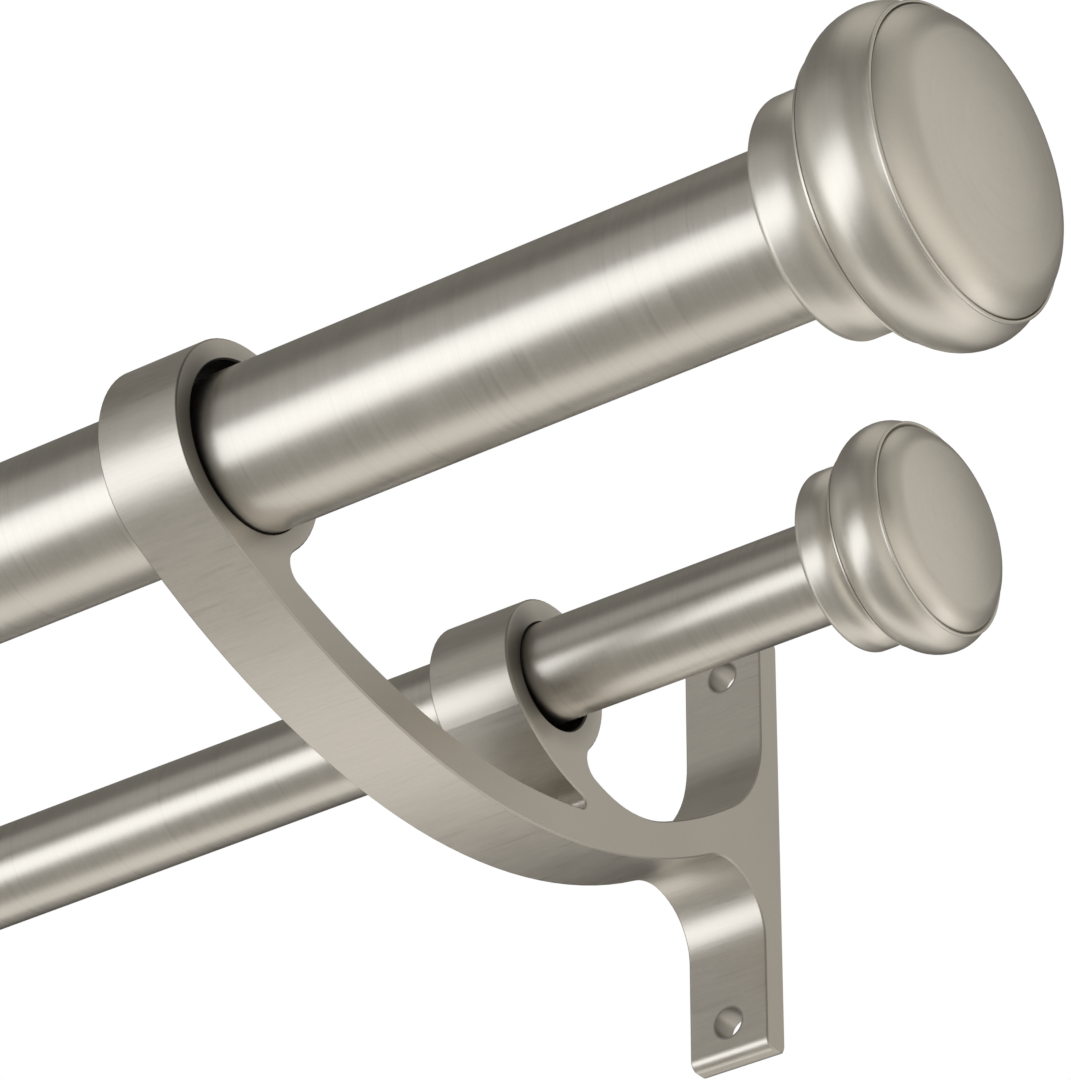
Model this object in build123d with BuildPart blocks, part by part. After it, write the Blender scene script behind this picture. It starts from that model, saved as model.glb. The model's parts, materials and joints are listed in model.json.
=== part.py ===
from build123d import *
from collections import namedtuple
from math import cos, radians, sin, sqrt
import os

# Double curtain pole: two telescopic poles carried by a pair of one-piece wall brackets.
#
# The origin is the middle of the four screw holes, on the wall. +X runs along the poles towards the
# right-hand finials, +Y goes into the wall and +Z is up, so the room is on the -Y side.
# All lengths are in millimetres.

os.makedirs("parts", exist_ok=True)

# Overall layout
FRONT_POLE_SHOWN = 711.2    # front tube length seen between its two finials, pole closed
FRONT_OVERHANG = 108.4      # bracket centre line to the mouth of a front finial
REAR_OVERHANG = 62.4        # bracket centre line to the mouth of a rear finial

# Wall bracket, one piece with the same outline all along its width
BRACKET_WIDTH = 15.0
PLATE_THICKNESS = 4.9
PLATE_HEIGHT = 76.2
PLATE_END_ROUND = 1.8
HOLE_FROM_END = 6.35        # centre of a screw hole to the end of the plate
HOLE_RADIUS = 2.6
EDGE_BREAK = 0.25           # crisp edge left by tumbling
ARM_THICKNESS = 6.2
ARM_RADIUS = 116.2          # underside of the arm, from its lowest point to the wall
ARM_LOW_OUT = 78.5          # lowest point of the underside: distance from the wall
ARM_LOW_DROP = 26.15        # lowest point of the underside: distance below the origin
ARM_BLEND_OUT = 93.0        # where the underside passes into the arc that wraps the front ring
LOWER_FILLET = 10.0
UPPER_FILLET = 20.0
BRANCH_RADIUS = 32.0        # back of the short arm that carries the rear ring
BRANCH_ANGLE = 45.0
VALLEY_OUT = 42.4
VALLEY_RADIUS = 24.0
NOTCH_ROUND = 1.25
RING_NECK_ROUND = 3.0

# Rings, and the poles that grub screws press against them
FRONT_RING_OUT = 137.35
FRONT_RING_UP = 6.55
FRONT_RING_RADIUS = 16.9
FRONT_RING_PLAY = 0.85      # ring bore radius less tube radius
FRONT_GRUB_ANGLE = 120.0    # above, leaning towards the room
REAR_RING_OUT = 61.5
REAR_RING_UP = 2.85
REAR_RING_RADIUS = 12.7
REAR_RING_PLAY = 0.8
REAR_GRUB_ANGLE = -30.0     # below, leaning towards the wall

# Grub screws, all alike
GRUB_RADIUS = 2.0
GRUB_LENGTH = 5.0
GRUB_SOCKET_ACROSS = 2.0
GRUB_SOCKET_DEPTH = 2.2
GRUB_POINT = 0.5
THREAD_PLAY = 0.05

# Tubes
FRONT_TUBE_RADIUS = 12.7
FRONT_TUBE_WALL = 1.2
FRONT_INNER_RADIUS = 11.1
FRONT_INNER_WALL = 1.0
FRONT_INNER_SHORT = 30.0    # inner tube stops this far short of the right-hand finial's mouth
REAR_TUBE_RADIUS = 8.0
REAR_TUBE_WALL = 1.0
REAR_INNER_RADIUS = 6.5
REAR_INNER_WALL = 0.9
REAR_INNER_SHORT = 26.0
TUBE_SEAT = 7.0             # depth that a tube goes into its own finial
TUBE_STOP = 1.4             # depth that the outer tube's free end goes into the moving finial
CONTACT_GAP = 0.02          # left where a grub screw and a ring hold a tube

# End plugs, studs and slide bushes
PLUG_FLANGE = 1.3
PLUG_LENGTH = 14.0
PLUG_PLAY = 0.05
PLUG_FLUTE_COUNT = 6
PLUG_FLUTE_WIDTH = 2.0
PLUG_FLUTE_DEPTH = 0.6
PLUG_SKIRT = 4.6
STUD_RADIUS = 3.0
STUD_IN_FINIAL = 8.0
STUD_IN_PLUG = 11.0
SOCKET_PLAY = 0.3           # finial socket radius less tube radius
BUSH_HEAD = 8.0
BUSH_SPIGOT = 10.0
BUSH_RUNNING_PLAY = 0.05

# A finial is one turned casting. Each station is a distance from its mouth and a radius.
FinialSize = namedtuple(
    "FinialSize",
    "collar_radius collar_round collar_length waist_at waist_radius lip_at lip_radius lip_width "
    "head_at head_radius shoulder_at shoulder_radius cove_at cove_radius bead_radius "
    "groove_at groove_radius groove_depth face_round",
)
FRONT_FINIAL = FinialSize(
    collar_radius=18.2, collar_round=1.6, collar_length=4.0, waist_at=8.4, waist_radius=16.8,
    lip_at=10.7, lip_radius=21.9, lip_width=0.35,
    head_at=18.4, head_radius=25.3, shoulder_at=22.4, shoulder_radius=24.4, cove_at=23.7,
    cove_radius=23.55, bead_radius=0.45, groove_at=24.7, groove_radius=22.7, groove_depth=0.35,
    face_round=3.8,
)
REAR_FINIAL = FinialSize(
    collar_radius=14.4, collar_round=1.2, collar_length=2.9, waist_at=5.8, waist_radius=13.2,
    lip_at=7.4, lip_radius=15.8, lip_width=0.25,
    head_at=12.7, head_radius=18.2, shoulder_at=15.3, shoulder_radius=17.4, cove_at=16.2,
    cove_radius=16.6, bead_radius=0.35, groove_at=16.95, groove_radius=15.95, groove_depth=0.25,
    face_round=2.4,
)
FACE_TILT = 12.0            # slope of the domed face where it meets its rounded edge

# What follows from the sizes above
HOLE_SPACING = PLATE_HEIGHT - 2 * HOLE_FROM_END
BRACKET_SPACING = FRONT_POLE_SHOWN - 2 * FRONT_OVERHANG
FRONT_MOUTH = BRACKET_SPACING / 2 + FRONT_OVERHANG
REAR_MOUTH = BRACKET_SPACING / 2 + REAR_OVERHANG
FRONT_BORE = FRONT_TUBE_RADIUS + FRONT_RING_PLAY
REAR_BORE = REAR_TUBE_RADIUS + REAR_RING_PLAY
SOCKET_DEPTH = TUBE_SEAT + PLUG_FLANGE
FRONT_RING = Vector(-FRONT_RING_OUT, FRONT_RING_UP)
REAR_RING = Vector(-REAR_RING_OUT, REAR_RING_UP)


def along(angle):
    """Unit vector in the wall-to-room plane, as (y, z)."""
    return Vector(cos(radians(angle)), sin(radians(angle)))


def pushed(ring, play, grub_angle):
    """Axis of a tube that its grub screw presses against the far side of the ring's bore."""
    return ring - along(grub_angle) * (play - CONTACT_GAP)


def across(x, yz):
    """Point of the part that has this X and these (y, z)."""
    return Vector(x, yz.X, yz.Y)


FRONT_AXIS = pushed(FRONT_RING, FRONT_RING_PLAY, FRONT_GRUB_ANGLE)
REAR_AXIS = pushed(REAR_RING, REAR_RING_PLAY, REAR_GRUB_ANGLE)


def finish(piece, name):
    """Labels a finished piece and writes it."""
    piece.part.label = name
    export_step(piece.part, f"parts/{name}.step")


def point_on(centre, radius, towards):
    """Point of a circle that lies towards another point."""
    return centre + (towards - centre).normalized() * radius


def arc_on(centre, radius, start, end):
    """Adds the short arc about a centre from one point to another."""
    return ThreePointArc(start, point_on(centre, radius, (start + end) / 2), end)


def height_on(centre, radius, y):
    """Lower point of a circle at this distance along y."""
    return Vector(y, centre.Y - sqrt(radius**2 - (y - centre.X) ** 2))


def arm_faces():
    """Adds the long arm: two tangent arcs from the front ring to the wall plate, of even thickness."""
    wall_centre = Vector(-ARM_LOW_OUT, ARM_RADIUS - ARM_LOW_DROP)
    blend = height_on(wall_centre, ARM_RADIUS, -ARM_BLEND_OUT)
    inward = (wall_centre - blend).normalized()
    reach = blend - FRONT_RING
    ring_arc = (reach.dot(reach) - FRONT_RING_RADIUS**2) / (-2 * reach.dot(inward) - 2 * FRONT_RING_RADIUS)
    ring_centre = blend + inward * ring_arc
    under = [
        point_on(ring_centre, ring_arc, FRONT_RING),
        blend,
        height_on(wall_centre, ARM_RADIUS, -PLATE_THICKNESS / 2),
    ]
    top_radius = ARM_RADIUS - ARM_THICKNESS
    over = [
        point_on(ring_centre, ring_arc - ARM_THICKNESS, FRONT_RING),
        point_on(ring_centre, ring_arc - ARM_THICKNESS, blend),
        height_on(wall_centre, top_radius, -PLATE_THICKNESS / 2),
    ]
    with BuildLine() as edge:
        arc_on(ring_centre, ring_arc, under[0], under[1])
        arc_on(wall_centre, ARM_RADIUS, under[1], under[2])
        Line(under[2], over[2])
        arc_on(wall_centre, top_radius, over[2], over[1])
        arc_on(ring_centre, ring_arc - ARM_THICKNESS, over[1], over[0])
        Line(over[0], under[0])
    make_face(edge.edges())
    return wall_centre, top_radius


def branch_face(wall_centre, top_radius):
    """Adds the short arm, from the back of the rear ring into the top of the long arm."""
    back_centre = REAR_RING + along(BRANCH_ANGLE) * (BRANCH_RADIUS - REAR_RING_RADIUS)
    valley_centre = height_on(wall_centre, top_radius - VALLEY_RADIUS, -VALLEY_OUT)
    back_start = point_on(back_centre, BRANCH_RADIUS, REAR_RING)
    back_end = height_on(back_centre, BRANCH_RADIUS, -VALLEY_OUT)
    outward = valley_centre + (valley_centre - wall_centre)
    valley_start = point_on(valley_centre, VALLEY_RADIUS, outward)
    inside_arm = point_on(valley_centre, VALLEY_RADIUS + ARM_THICKNESS / 2, outward)
    valley_end = height_on(valley_centre, VALLEY_RADIUS, -REAR_RING_OUT + REAR_RING_RADIUS / 3)
    with BuildLine() as edge:
        arc_on(back_centre, BRANCH_RADIUS, back_start, back_end)
        Line(back_end, inside_arm)
        Line(inside_arm, valley_start)
        arc_on(valley_centre, VALLEY_RADIUS, valley_start, valley_end)
        Line(valley_end, REAR_RING)
        Line(REAR_RING, back_start)
    make_face(edge.edges())
    return height_on(back_centre, BRANCH_RADIUS, back_centre.X), valley_centre


def nearest_corner(sketch, point):
    """Corner of the outline that lies nearest to a point."""
    return sketch.vertices().sort_by_distance(point)[0]


def bracket(name, centre_x):
    """One bracket: wall plate, long arm with its ring, and short arm with its ring."""
    side = Plane(origin=(centre_x - BRACKET_WIDTH / 2, 0, 0), x_dir=(0, 1, 0), z_dir=(1, 0, 0))
    with BuildPart() as body:
        with BuildSketch(side) as outline:
            wall_centre, top_radius = arm_faces()
            notch, valley_centre = branch_face(wall_centre, top_radius)
            with Locations((FRONT_RING.X, FRONT_RING.Y)):
                Circle(FRONT_RING_RADIUS)
            with Locations((REAR_RING.X, REAR_RING.Y)):
                Circle(REAR_RING_RADIUS)
            with Locations((-PLATE_THICKNESS / 2, 0)):
                Rectangle(PLATE_THICKNESS, PLATE_HEIGHT)
            plate_ends = outline.vertices().filter_by(lambda v: abs(abs(v.Y) - PLATE_HEIGHT / 2) < 1e-4)
            fillet(plate_ends, PLATE_END_ROUND)
            under_root = height_on(wall_centre, ARM_RADIUS, -PLATE_THICKNESS)
            fillet(nearest_corner(outline, under_root), LOWER_FILLET)
            over_root = height_on(wall_centre, top_radius, -PLATE_THICKNESS)
            fillet(nearest_corner(outline, over_root), UPPER_FILLET)
            fillet(nearest_corner(outline, notch), NOTCH_ROUND)
            rear_neck = point_on(REAR_RING, REAR_RING_RADIUS, valley_centre - Vector(0, VALLEY_RADIUS))
            fillet(nearest_corner(outline, rear_neck), RING_NECK_ROUND)
            front_neck = FRONT_RING + along(-BRANCH_ANGLE) * FRONT_RING_RADIUS
            fillet(nearest_corner(outline, front_neck), RING_NECK_ROUND)
            with Locations((FRONT_RING.X, FRONT_RING.Y)):
                Circle(FRONT_BORE, mode=Mode.SUBTRACT)
            with Locations((REAR_RING.X, REAR_RING.Y)):
                Circle(REAR_BORE, mode=Mode.SUBTRACT)
        extrude(amount=BRACKET_WIDTH)
        chamfer(body.faces().filter_by(Axis.X).edges(), EDGE_BREAK)
        with BuildSketch(Plane(origin=(centre_x, 0, 0), x_dir=(1, 0, 0), z_dir=(0, -1, 0))):
            with GridLocations(BRACKET_WIDTH, HOLE_SPACING, 1, 2):
                Circle(HOLE_RADIUS)
        extrude(amount=PLATE_THICKNESS, mode=Mode.SUBTRACT)
        for ring, ring_radius, angle in (
            (FRONT_RING, FRONT_RING_RADIUS, FRONT_GRUB_ANGLE),
            (REAR_RING, REAR_RING_RADIUS, REAR_GRUB_ANGLE),
        ):
            with BuildSketch(Plane(origin=across(centre_x, ring), z_dir=across(0, along(angle)))):
                Circle(GRUB_RADIUS + THREAD_PLAY)
            extrude(amount=ring_radius + RING_NECK_ROUND, mode=Mode.SUBTRACT)
    finish(body, name)


def grub_screws():
    """Four socket set screws, each with its flat point on a tube."""
    with BuildPart() as screws:
        for centre_x in (-BRACKET_SPACING / 2, BRACKET_SPACING / 2):
            for axis, tube_radius, angle in (
                (FRONT_AXIS, FRONT_TUBE_RADIUS, FRONT_GRUB_ANGLE),
                (REAR_AXIS, REAR_TUBE_RADIUS, REAR_GRUB_ANGLE),
            ):
                outward = across(0, along(angle))
                point = across(centre_x, axis) + outward * (tube_radius + CONTACT_GAP)
                with BuildSketch(Plane(origin=point, z_dir=outward)):
                    Circle(GRUB_RADIUS)
                extrude(amount=GRUB_LENGTH)
                with BuildSketch(Plane(origin=point + outward * GRUB_LENGTH, z_dir=outward)):
                    RegularPolygon(GRUB_SOCKET_ACROSS / 2, 6, major_radius=False)
                extrude(amount=-GRUB_SOCKET_DEPTH, mode=Mode.SUBTRACT)
        chamfer(screws.edges().filter_by(GeomType.CIRCLE), GRUB_POINT)
    finish(screws, "grub_screws")


def tube(name, axis, radius, wall, start, end):
    """A plain tube along X with lightly broken ends."""
    with BuildPart() as body:
        with BuildSketch(Plane(origin=across(start, axis), x_dir=(0, 1, 0), z_dir=(1, 0, 0))):
            Circle(radius)
            Circle(radius - wall, mode=Mode.SUBTRACT)
        extrude(amount=end - start)
        chamfer(body.edges().filter_by(GeomType.CIRCLE).sort_by(SortBy.RADIUS)[-2:], EDGE_BREAK)
    finish(body, name)


def finial(name, axis, mouth, side, size, tube_radius):
    """A turned finial: collar with a blind socket, waist, sharp lip, round head, bead, groove and dome."""
    origin = across(side * mouth, axis)
    socket = tube_radius + SOCKET_PLAY
    socket_end = SOCKET_DEPTH + STUD_IN_FINIAL
    thread = STUD_RADIUS + THREAD_PLAY
    head = (size.head_at, size.head_radius)
    cove = (size.cove_at, size.cove_radius)
    bead_end = (size.groove_at, size.cove_radius - size.bead_radius)
    groove_bottom = (size.groove_at - size.groove_depth, (bead_end[1] + size.groove_radius) / 2)
    bead_top = (size.cove_at + size.bead_radius, size.cove_radius + size.bead_radius / 4)
    turn = radians(90 - FACE_TILT)
    edge_at = size.groove_at + size.face_round * sin(turn)
    edge_radius = size.groove_radius - size.face_round * (1 - cos(turn))
    dome = edge_radius / sin(radians(FACE_TILT))
    dome_centre = Vector(edge_at - dome * cos(radians(FACE_TILT)), 0)
    with BuildPart() as body:
        with BuildSketch(Plane(origin=origin, x_dir=(side, 0, 0), z_dir=(0, -1, 0))):
            with BuildLine():
                rim_start = (0, size.collar_radius - size.collar_round)
                rim = RadiusArc(rim_start, (size.collar_round, size.collar_radius), size.collar_round)
                collar = Line(rim @ 1, (size.collar_length, size.collar_radius))
                fall = TangentArc(collar @ 1, (size.waist_at, size.waist_radius), tangent=(1, 0))
                back = Line(fall @ 1, (size.lip_at, size.lip_radius))
                lip = Line(back @ 1, (size.lip_at + size.lip_width, size.lip_radius))
                TangentArc(head, lip @ 1, tangent=(-1, 0))
                shoulder = TangentArc(head, (size.shoulder_at, size.shoulder_radius), tangent=(1, 0))
                Line(shoulder @ 1, cove)
                ThreePointArc(cove, bead_top, bead_end)
                groove = Polyline(bead_end, groove_bottom, (size.groove_at, size.groove_radius))
                face_edge = RadiusArc(groove @ 1, (edge_at, edge_radius), size.face_round)
                face_middle = dome_centre + along(FACE_TILT / 2) * dome
                face = ThreePointArc(face_edge @ 1, face_middle, dome_centre + along(0) * dome)
                Polyline(
                    face @ 1,
                    (socket_end, 0),
                    (socket_end, thread),
                    (SOCKET_DEPTH, thread),
                    (SOCKET_DEPTH, socket),
                    (0, socket),
                    rim @ 0,
                )
            make_face()
        revolve(axis=Axis(origin, (1, 0, 0)))
    finish(body, name)


def end_plug(name, axis, mouth, side, bore_radius, flange_radius, skirt_radius):
    """A moulded plug in a tube's end: fluted body, flange and, on an inner tube, a skirt round its end."""
    tube_end = across(side * (mouth + TUBE_SEAT), axis)
    outward = Plane(origin=tube_end, z_dir=(side, 0, 0))
    inward = Plane(origin=tube_end, z_dir=(-side, 0, 0))
    with BuildPart() as body:
        with BuildSketch(outward):
            Circle(flange_radius)
        extrude(amount=PLUG_FLANGE)
        with BuildSketch(inward):
            Circle(bore_radius - PLUG_PLAY)
            with PolarLocations(bore_radius - PLUG_PLAY, PLUG_FLUTE_COUNT):
                Rectangle(2 * PLUG_FLUTE_DEPTH, PLUG_FLUTE_WIDTH, mode=Mode.SUBTRACT)
        extrude(amount=PLUG_LENGTH)
        if skirt_radius:
            with BuildSketch(inward):
                Circle(flange_radius)
                Circle(skirt_radius + PLUG_PLAY, mode=Mode.SUBTRACT)
            extrude(amount=PLUG_SKIRT)
        with BuildSketch(inward.offset(-PLUG_FLANGE)):
            Circle(STUD_RADIUS + THREAD_PLAY)
        extrude(amount=PLUG_FLANGE + PLUG_LENGTH, mode=Mode.SUBTRACT)
    finish(body, name)


def finial_stud(name, axis, mouth, side):
    """The stud that draws a finial down on its plug."""
    start = across(side * (mouth + SOCKET_DEPTH - STUD_IN_PLUG), axis)
    with BuildPart() as body:
        with BuildSketch(Plane(origin=start, z_dir=(side, 0, 0))):
            Circle(STUD_RADIUS)
        extrude(amount=STUD_IN_PLUG + STUD_IN_FINIAL)
        chamfer(body.edges().filter_by(GeomType.CIRCLE), GRUB_POINT)
    finish(body, name)


def slide_bush(name, axis, inner_end, inner_bore, outer_bore):
    """The bush on the inner tube's hidden end, which runs in the outer tube."""
    with BuildPart() as body:
        with BuildSketch(Plane(origin=across(inner_end, axis), z_dir=(1, 0, 0))):
            Circle(outer_bore - BUSH_RUNNING_PLAY)
        extrude(amount=BUSH_HEAD)
        with BuildSketch(Plane(origin=across(inner_end, axis), z_dir=(-1, 0, 0))):
            Circle(inner_bore - PLUG_PLAY)
        extrude(amount=BUSH_SPIGOT)
        with BuildSketch(Plane(origin=across(inner_end - BUSH_SPIGOT, axis), z_dir=(1, 0, 0))):
            Circle(STUD_RADIUS)
        extrude(amount=BUSH_SPIGOT + BUSH_HEAD, mode=Mode.SUBTRACT)
        chamfer(body.faces().sort_by(Axis.X)[-1].outer_wire().edges(), GRUB_POINT)
    finish(body, name)


def pole(name, axis, mouth, size, radius, wall, inner_radius, inner_wall, inner_short):
    """One telescopic pole with its two finials and what holds them on."""
    tube(f"{name}_outer_tube", axis, radius, wall, -mouth - TUBE_STOP, mouth + TUBE_SEAT)
    tube(f"{name}_inner_tube", axis, inner_radius, inner_wall, -mouth - TUBE_SEAT, mouth - inner_short)
    slide_bush(f"{name}_slide_bush", axis, mouth - inner_short, inner_radius - inner_wall, radius - wall)
    end_plug(f"{name}_right_end_plug", axis, mouth, 1, radius - wall, radius, 0)
    end_plug(f"{name}_left_end_plug", axis, mouth, -1, inner_radius - inner_wall, radius, inner_radius)
    for hand, side in (("right", 1), ("left", -1)):
        finial(f"{name}_{hand}_finial", axis, mouth, side, size, radius)
        finial_stud(f"{name}_{hand}_finial_stud", axis, mouth, side)


bracket("right_bracket", BRACKET_SPACING / 2)
bracket("left_bracket", -BRACKET_SPACING / 2)
grub_screws()
pole(
    "front", FRONT_AXIS, FRONT_MOUTH, FRONT_FINIAL,
    FRONT_TUBE_RADIUS, FRONT_TUBE_WALL, FRONT_INNER_RADIUS, FRONT_INNER_WALL, FRONT_INNER_SHORT,
)
pole(
    "rear", REAR_AXIS, REAR_MOUTH, REAR_FINIAL,
    REAR_TUBE_RADIUS, REAR_TUBE_WALL, REAR_INNER_RADIUS, REAR_INNER_WALL, REAR_INNER_SHORT,
)
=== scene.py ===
import json
import math
from collections import namedtuple

import bmesh
import bpy
from bpy.props import FloatProperty, FloatVectorProperty, IntProperty, PointerProperty
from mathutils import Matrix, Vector


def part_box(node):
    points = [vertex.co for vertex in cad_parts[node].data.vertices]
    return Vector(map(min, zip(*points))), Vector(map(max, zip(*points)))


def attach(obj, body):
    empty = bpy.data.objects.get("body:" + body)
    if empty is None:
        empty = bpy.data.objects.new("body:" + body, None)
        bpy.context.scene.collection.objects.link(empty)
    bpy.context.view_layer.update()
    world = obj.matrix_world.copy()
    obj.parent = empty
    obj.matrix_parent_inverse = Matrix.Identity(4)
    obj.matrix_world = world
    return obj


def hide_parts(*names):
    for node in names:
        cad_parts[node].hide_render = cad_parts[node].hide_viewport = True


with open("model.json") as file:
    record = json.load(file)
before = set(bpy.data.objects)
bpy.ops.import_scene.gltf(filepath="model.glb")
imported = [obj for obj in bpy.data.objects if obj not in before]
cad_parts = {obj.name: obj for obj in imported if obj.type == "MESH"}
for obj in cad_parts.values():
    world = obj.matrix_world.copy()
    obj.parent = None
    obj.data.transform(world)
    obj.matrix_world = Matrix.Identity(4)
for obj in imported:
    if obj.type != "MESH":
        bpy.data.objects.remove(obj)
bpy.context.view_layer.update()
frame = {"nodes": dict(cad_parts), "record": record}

bl_info = {
    "name": "Double curtain pole",
    "version": (1, 0, 0),
    "blender": (4, 5, 0),
    "location": "3D View > Sidebar > Curtain pole",
    "description": "Finishes and small pieces of a telescopic double curtain pole, with its studio",
    "category": "Object",
}


def middle(node):
    """Middle of a CAD node's box."""
    low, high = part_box(node)
    return (Vector(low) + Vector(high)) / 2


# Lengths are in metres. Places are read from the frame where it has them.
HANDS = {"right": 1, "left": -1}
POLE_AXIS = {pole: middle(f"{pole}_outer_tube") for pole in ("front", "rear")}
MOUTH_AT = {pole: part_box(f"{pole}_right_finial")[0][0] for pole in POLE_AXIS}
BRACKET_AT = middle("right_bracket").x
BRACKET_HALF_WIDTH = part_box("right_bracket")[1][0] - BRACKET_AT

# Openings of a bracket: each ring as its centre (y, z) and its bore's radius, and the screw holes
RINGS = (((-0.13735, 0.00655), 0.01355), ((-0.0615, 0.00285), 0.0088))
WALL_HOLES = frame["record"]["mounts"][0]["dims"]
SCREW_HOLE_Z = WALL_HOLES["spacing_y_mm"] / 2000
SCREW_HOLE_RADIUS = WALL_HOLES["hole_r_mm"] / 1000

# Satin nickel: its darkest and lightest tone, how far a plain face drops, and the tone of painted
# shade
NICKEL_TONES = (0.8, 1.2)
PLAIN_DROP = 0.35
PAINTED_SHADE_TONE = 0.12

# Scales of the noises in it: three on the brush marks, and two on the place in the object
FINE_MARKS = 1.0
BROAD_MARKS = 0.23
SCRATCHES = 0.55
SCRATCH_RANGE = (0.70, 0.76)
CLOUDS = 42.0
SPECKS = 1700.0

# How much each noise counts in the brush marks, the tone, the roughness and the relief
FINE_STROKE, BROAD_STROKE, SCRATCH_STROKE = 0.9, 0.4, 0.3
CLOUD_TONE, SPECK_TONE = 0.35, 0.2
CLOUD_MATT, SPECK_MATT, STROKE_MATT = 0.08, 0.06, 0.2
SPECK_RELIEF = 0.25
NICKEL_RELIEF = 0.000012
NICKEL_RELIEF_STRENGTH = 0.7

# The same for the small pieces
FITTING_SPECK_MATT = 0.2
FITTING_RELIEF_STRENGTH = 0.5

# Brush marks on each piece, as shares of the settings, and round a turned piece
BRACKET_CONTRAST = 1.15
BRACKET_MARK_LENGTH = 0.4
FINIAL_CONTRAST = 0.6
TURNING_CENTRE = 0.0015
MARKS_ROUND = 1.6

# Painted shade in a bracket's screw holes, in and beside its rings and on their sheltered side, and
# darkening on its thin chamfers. Each range says where it starts or ends, beyond an edge of its
# own.
SIDE_START = (-0.0004, -0.0001)
CHAMFER_START = (-0.00035, -0.0002)
CHAMFER_END = (-0.00005, 0.0)
CHAMFER_DARKENING = 0.35
SCREW_HOLE_END = (0.00005, 0.0005)
SCREW_HOLE_SHADE = 0.5
WALL_PLATE_START = (-0.009, -0.008)
BORE_END = (0.0001, 0.0004)
BORE_SHADE = 0.6
RING_EDGE_END = (0.0, 0.0042)
RING_EDGE_SHADE = 0.3
SHELTERED_SIDE = (math.cos(math.radians(193)), math.sin(math.radians(193)))
SHELTER_SPREAD = (0.2, 0.85)
SHELTER_END = (0.0028, 0.0048)
SHELTER_SHADE = 0.55

# Painted shade on a tube beside a bracket and in its finial's mouth, and in the groove of a finial
BRACKET_JOINT_END = (0.0, 0.0018)
BRACKET_JOINT_SHADE = 0.42
MOUTH_START = (-0.0009, 0.0001)
MOUTH_SHADE = 0.7
GROOVE_SIDES = (0.0001, 0.0004)
GROOVE_START = (0.0, 0.0002)
GROOVE_END = (0.0008, 0.001)
GROOVE_SHADE = 0.5

# Outline of a finial. Places along it are measured from its mouth, and angles are in degrees.
FinialSize = namedtuple(
    "FinialSize",
    "socket_radius collar_radius collar_round collar_length waist_at waist_radius "
    "lip_at lip_radius lip_width head_at head_radius shoulder_at shoulder_radius "
    "bead_at bead_radius groove_at groove_radius face_at face_radius",
)
FINIAL_SIZES = {
    "front": FinialSize(
        socket_radius=0.0130, collar_radius=0.0182, collar_round=0.0016, collar_length=0.0040,
        waist_at=0.0084, waist_radius=0.0168, lip_at=0.0107, lip_radius=0.0219, lip_width=0.00035,
        head_at=0.0184, head_radius=0.02529, shoulder_at=0.0223, shoulder_radius=0.0242,
        bead_at=0.0239, bead_radius=0.02352, groove_at=0.0245, groove_radius=0.0232,
        face_at=0.0247, face_radius=0.0228,
    ),
    "rear": FinialSize(
        socket_radius=0.0083, collar_radius=0.0144, collar_round=0.0012, collar_length=0.0029,
        waist_at=0.0058, waist_radius=0.0132, lip_at=0.0074, lip_radius=0.0158, lip_width=0.00025,
        head_at=0.0127, head_radius=0.0182, shoulder_at=0.0154, shoulder_radius=0.0174,
        bead_at=0.01635, bead_radius=0.01690, groove_at=0.0168, groove_radius=0.0166,
        face_at=0.01695, face_radius=0.0160,
    ),
}
SOCKET_DEPTH = 0.0083
STUD_HOLE_DEPTH = 0.008
STUD_HOLE_RADIUS = 0.00305
MOUTH_BREAK = 0.0002
LIP_STEP = 0.00018
GROOVE_DEPTH = 0.0004

# Angles of the outline where the bead, the face's pillow edge and its dome start
BEAD_RISE = 50.0
PILLOW_TILT = 28.0
FACE_TILT = 12.0

# How finely an outline is stepped, and how close the points are that the turned mesh joins
ARC_STEP = 7.0
MERGE_DISTANCE = 0.000002

# Camera of the photograph
CAMERA_PLACE = (0.75264, -0.73913, -0.48677)
CAMERA_TURN = 36.514
CAMERA_RISE = -31.457
LENS = 209.1
SENSOR_WIDTH = 36.0
CLIP = (0.05, 100.0)

# Floor, and what the soft boxes aim at
FLOOR_HALF_SIZE = 20.0
FLOOR_CLOUDS = 2.0
FLOOR_TONES = ((0.84, 0.84, 0.83, 1), (0.88, 0.88, 0.87, 1))
FLOOR_GLOW_COLOUR = (1.0, 0.99, 0.97, 1)
LIGHTS_AIM_AT = (0.25, -0.1, 0.0)
LIGHT_DISTANCE = 2.6


def from_poles(angle, x):
    """Point at this x and angle, counted from the wall upwards, at the lights' distance."""
    turn = math.radians(angle)
    return (x, LIGHTS_AIM_AT[1] + LIGHT_DISTANCE * math.cos(turn), LIGHT_DISTANCE * math.sin(turn))


# Soft boxes: name, setting with its power, size, place and colour
WARM = (1.0, 0.96, 0.9)
SOFT_BOXES = (
    ("key_light", "key_power", (5.0, 2.1), from_poles(199, -1.2), (0.98, 0.99, 1.0)),
    ("fill_light", "fill_power", (5.0, 1.6), from_poles(150, -1.2), WARM),
    ("low_light", "low_power", (6.6, 1.7), from_poles(309, -0.4), (1.0, 0.96, 0.91)),
    ("wall_light", "wall_power", (1.8, 1.4), from_poles(340, 0.3), WARM),
    ("side_light", "side_power", (2.4, 2.4), (2.2, 1.6, 1.4), WARM),
)

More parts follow.
